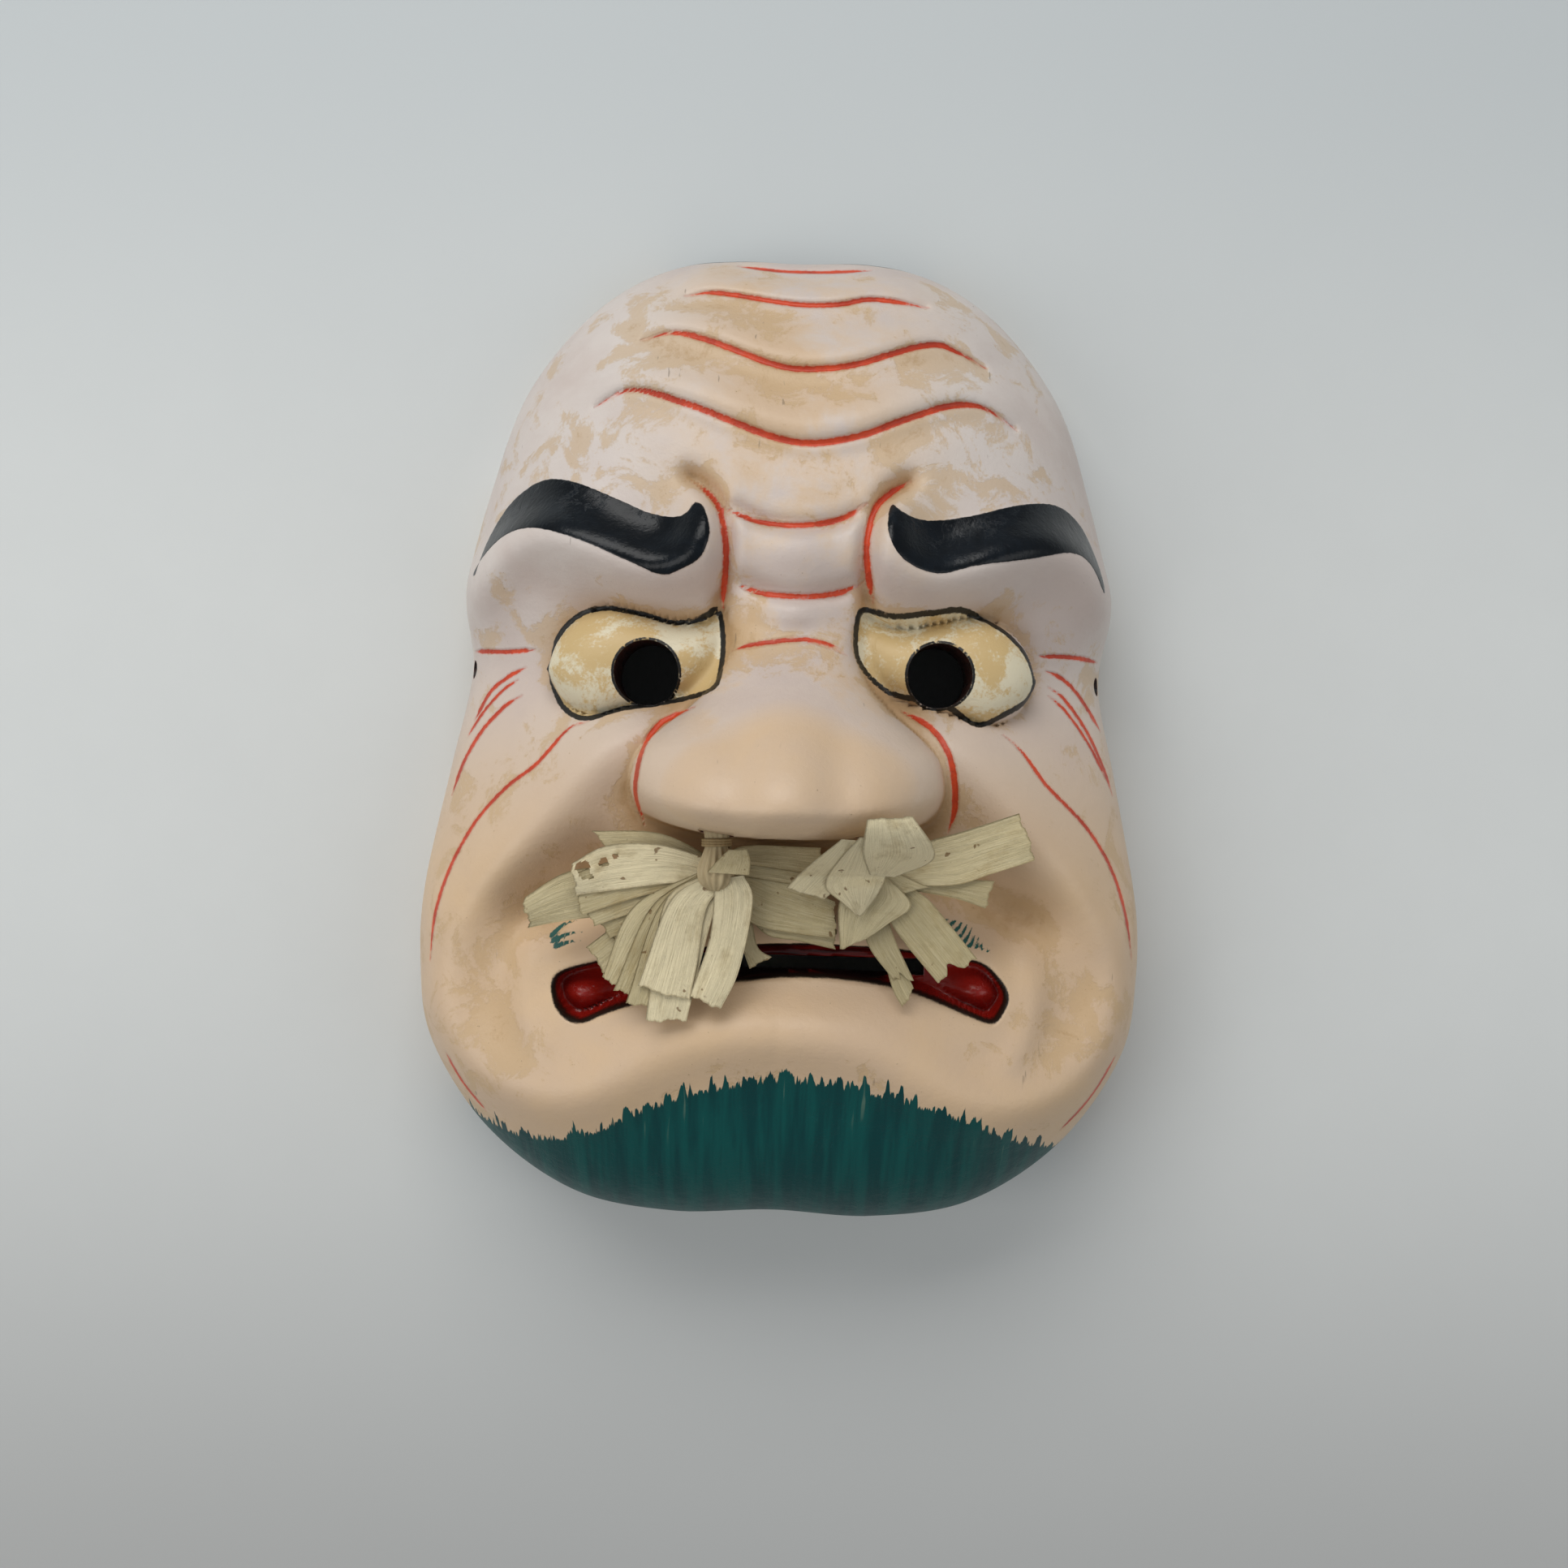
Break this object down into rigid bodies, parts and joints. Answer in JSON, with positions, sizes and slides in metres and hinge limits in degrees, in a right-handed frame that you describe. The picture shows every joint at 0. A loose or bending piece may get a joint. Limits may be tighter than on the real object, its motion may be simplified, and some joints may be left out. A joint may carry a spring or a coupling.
{
  "type": "theatre mask",
  "caption": "Hollow carved wooden theatre mask of a scowling face, with pierced pupils, an open mouth and swinging leaf-strip moustache tufts plugged into its nostrils.",
  "frame": {"origin": "middle of the rim plane that the mask lies on, under the middle of its box", "axes": "+Z out of the face, +Y to the crown, +X to the viewer's right"},
  "size_m": [0.1578, 0.211, 0.0868],
  "materials": {
    "painted_wood": "satin gesso and paint over carved wood",
    "dry_leaf": "matt dry leaf or wood-shaving strip",
    "thread": "matt binding thread"
  },
  "bodies": {
    "mask": {"mask_shell": "painted_wood"},
    "left_tuft": {"left_stem": "dry_leaf", "left_strip_across_1": "dry_leaf", "left_strip_across_2": "dry_leaf", "left_strip_bundle_1": "dry_leaf", "left_strip_bundle_2": "dry_leaf", "left_strip_bundle_3": "dry_leaf", "left_strip_bundle_4": "dry_leaf", "left_strip_bundle_5": "dry_leaf", "left_strip_collar": "dry_leaf", "left_strip_curled": "dry_leaf", "left_strip_fan_1": "dry_leaf", "left_strip_fan_2": "dry_leaf", "left_strip_fan_3": "dry_leaf", "left_strip_fan_4": "dry_leaf", "left_strip_fan_5": "dry_leaf", "left_strip_folded": "dry_leaf", "left_strip_nose_1": "dry_leaf", "left_strip_nose_2": "dry_leaf", "left_strip_single": "dry_leaf", "left_strip_tongue": "dry_leaf", "left_strip_under": "dry_leaf", "left_thread": "thread"},
    "right_tuft": {"right_stem": "dry_leaf", "right_strip_crest": "dry_leaf", "right_strip_cross": "dry_leaf", "right_strip_fold": "dry_leaf", "right_strip_lapel": "dry_leaf", "right_strip_long": "dry_leaf", "right_strip_patch": "dry_leaf", "right_strip_side": "dry_leaf", "right_strip_tail_1": "dry_leaf", "right_strip_tail_2": "dry_leaf", "right_strip_tail_3": "dry_leaf", "right_thread": "thread"}
  },
  "joints": [
    {"name": "left_tuft_swing", "type": "hinge", "parent": "mask", "child": "left_tuft", "pos_m": [-0.0125, -0.014, 0.065], "axis": [-1, 0, 0], "range_deg": [0, 14]},
    {"name": "right_tuft_swing", "type": "hinge", "parent": "mask", "child": "right_tuft", "pos_m": [0.0175, -0.014, 0.065], "axis": [-1, 0, 0], "range_deg": [0, 14]}
  ],
  "couplings": [
    {"joint": "right_tuft_swing", "follows": "left_tuft_swing", "ratio": 1}
  ]
}
